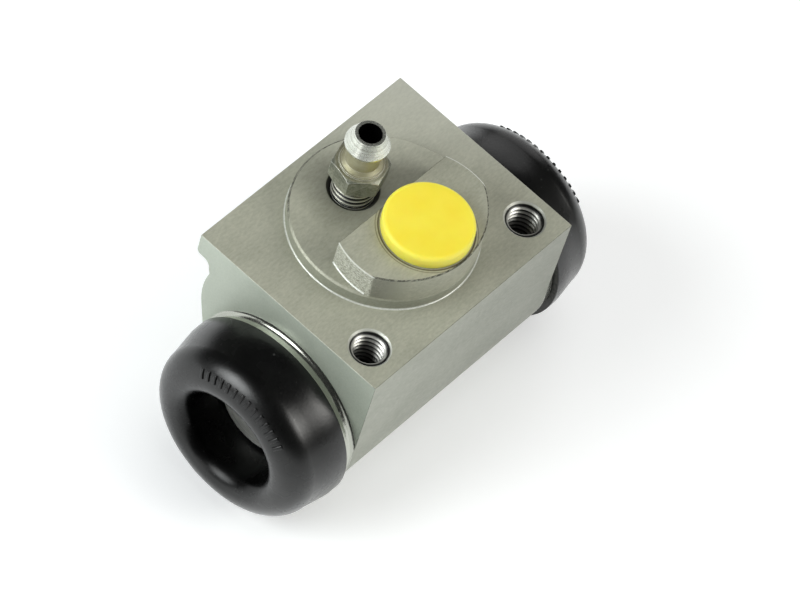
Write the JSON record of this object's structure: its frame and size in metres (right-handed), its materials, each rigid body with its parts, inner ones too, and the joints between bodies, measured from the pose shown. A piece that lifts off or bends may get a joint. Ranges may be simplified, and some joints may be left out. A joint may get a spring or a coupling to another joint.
{
  "type": "wheel cylinder",
  "caption": "Drum brake wheel cylinder: alloy block with a stepped spigot, bleed screw, plugged fluid port, and sprung pistons behind rubber boots that push the shoes apart.",
  "frame": {"origin": "on the spigot axis, in the plane of the mounting face", "axes": "+X along the bore toward the rear piston, +Y away from the tapped holes, +Z out of the mounting face along the spigot"},
  "size_m": [0.07, 0.0366, 0.0537],
  "materials": {
    "alloy": "milled and turned, satin",
    "piston_steel": "turned, satin",
    "cup_rubber": "smooth",
    "expander_steel": "pressed, satin",
    "spring_steel": "drawn, satin",
    "boot_rubber": "moulded, soft gloss",
    "zinc": "zinc plated with a yellow tint",
    "plug_plastic": "moulded, soft"
  },
  "bodies": {
    "housing": {"body": "alloy", "boot_front": "boot_rubber", "boot_rear": "boot_rubber", "spring": "spring_steel"},
    "front_piston": {"piston_front": "piston_steel", "cup_front": "cup_rubber", "expander_front": "expander_steel"},
    "rear_piston": {"piston_rear": "piston_steel", "cup_rear": "cup_rubber", "expander_rear": "expander_steel"},
    "bleeder": {"bleed_screw": "zinc"},
    "plug": {"port_plug": "plug_plastic"}
  },
  "joints": [
    {"name": "piston_front_slide", "type": "slide", "parent": "housing", "child": "front_piston", "axis": [-1, 0, 0], "range_m": [-0.003, 0.007], "stiffness_N_per_m": 1000, "deforming": ["boot_front", "spring"]},
    {"name": "piston_rear_slide", "type": "slide", "parent": "housing", "child": "rear_piston", "axis": [1, 0, 0], "range_m": [-0.003, 0.007], "stiffness_N_per_m": 1000, "deforming": ["boot_rear", "spring"]},
    {"name": "bleed_turn", "type": "hinge", "parent": "housing", "child": "bleeder", "pos_m": [0, 0.00675, 0.00245], "axis": [0, 0, 1], "range_deg": [0, 360]},
    {"name": "plug_pull", "type": "slide", "parent": "housing", "child": "plug", "axis": [0, 0, 1], "range_m": [0, 0.011]}
  ]
}
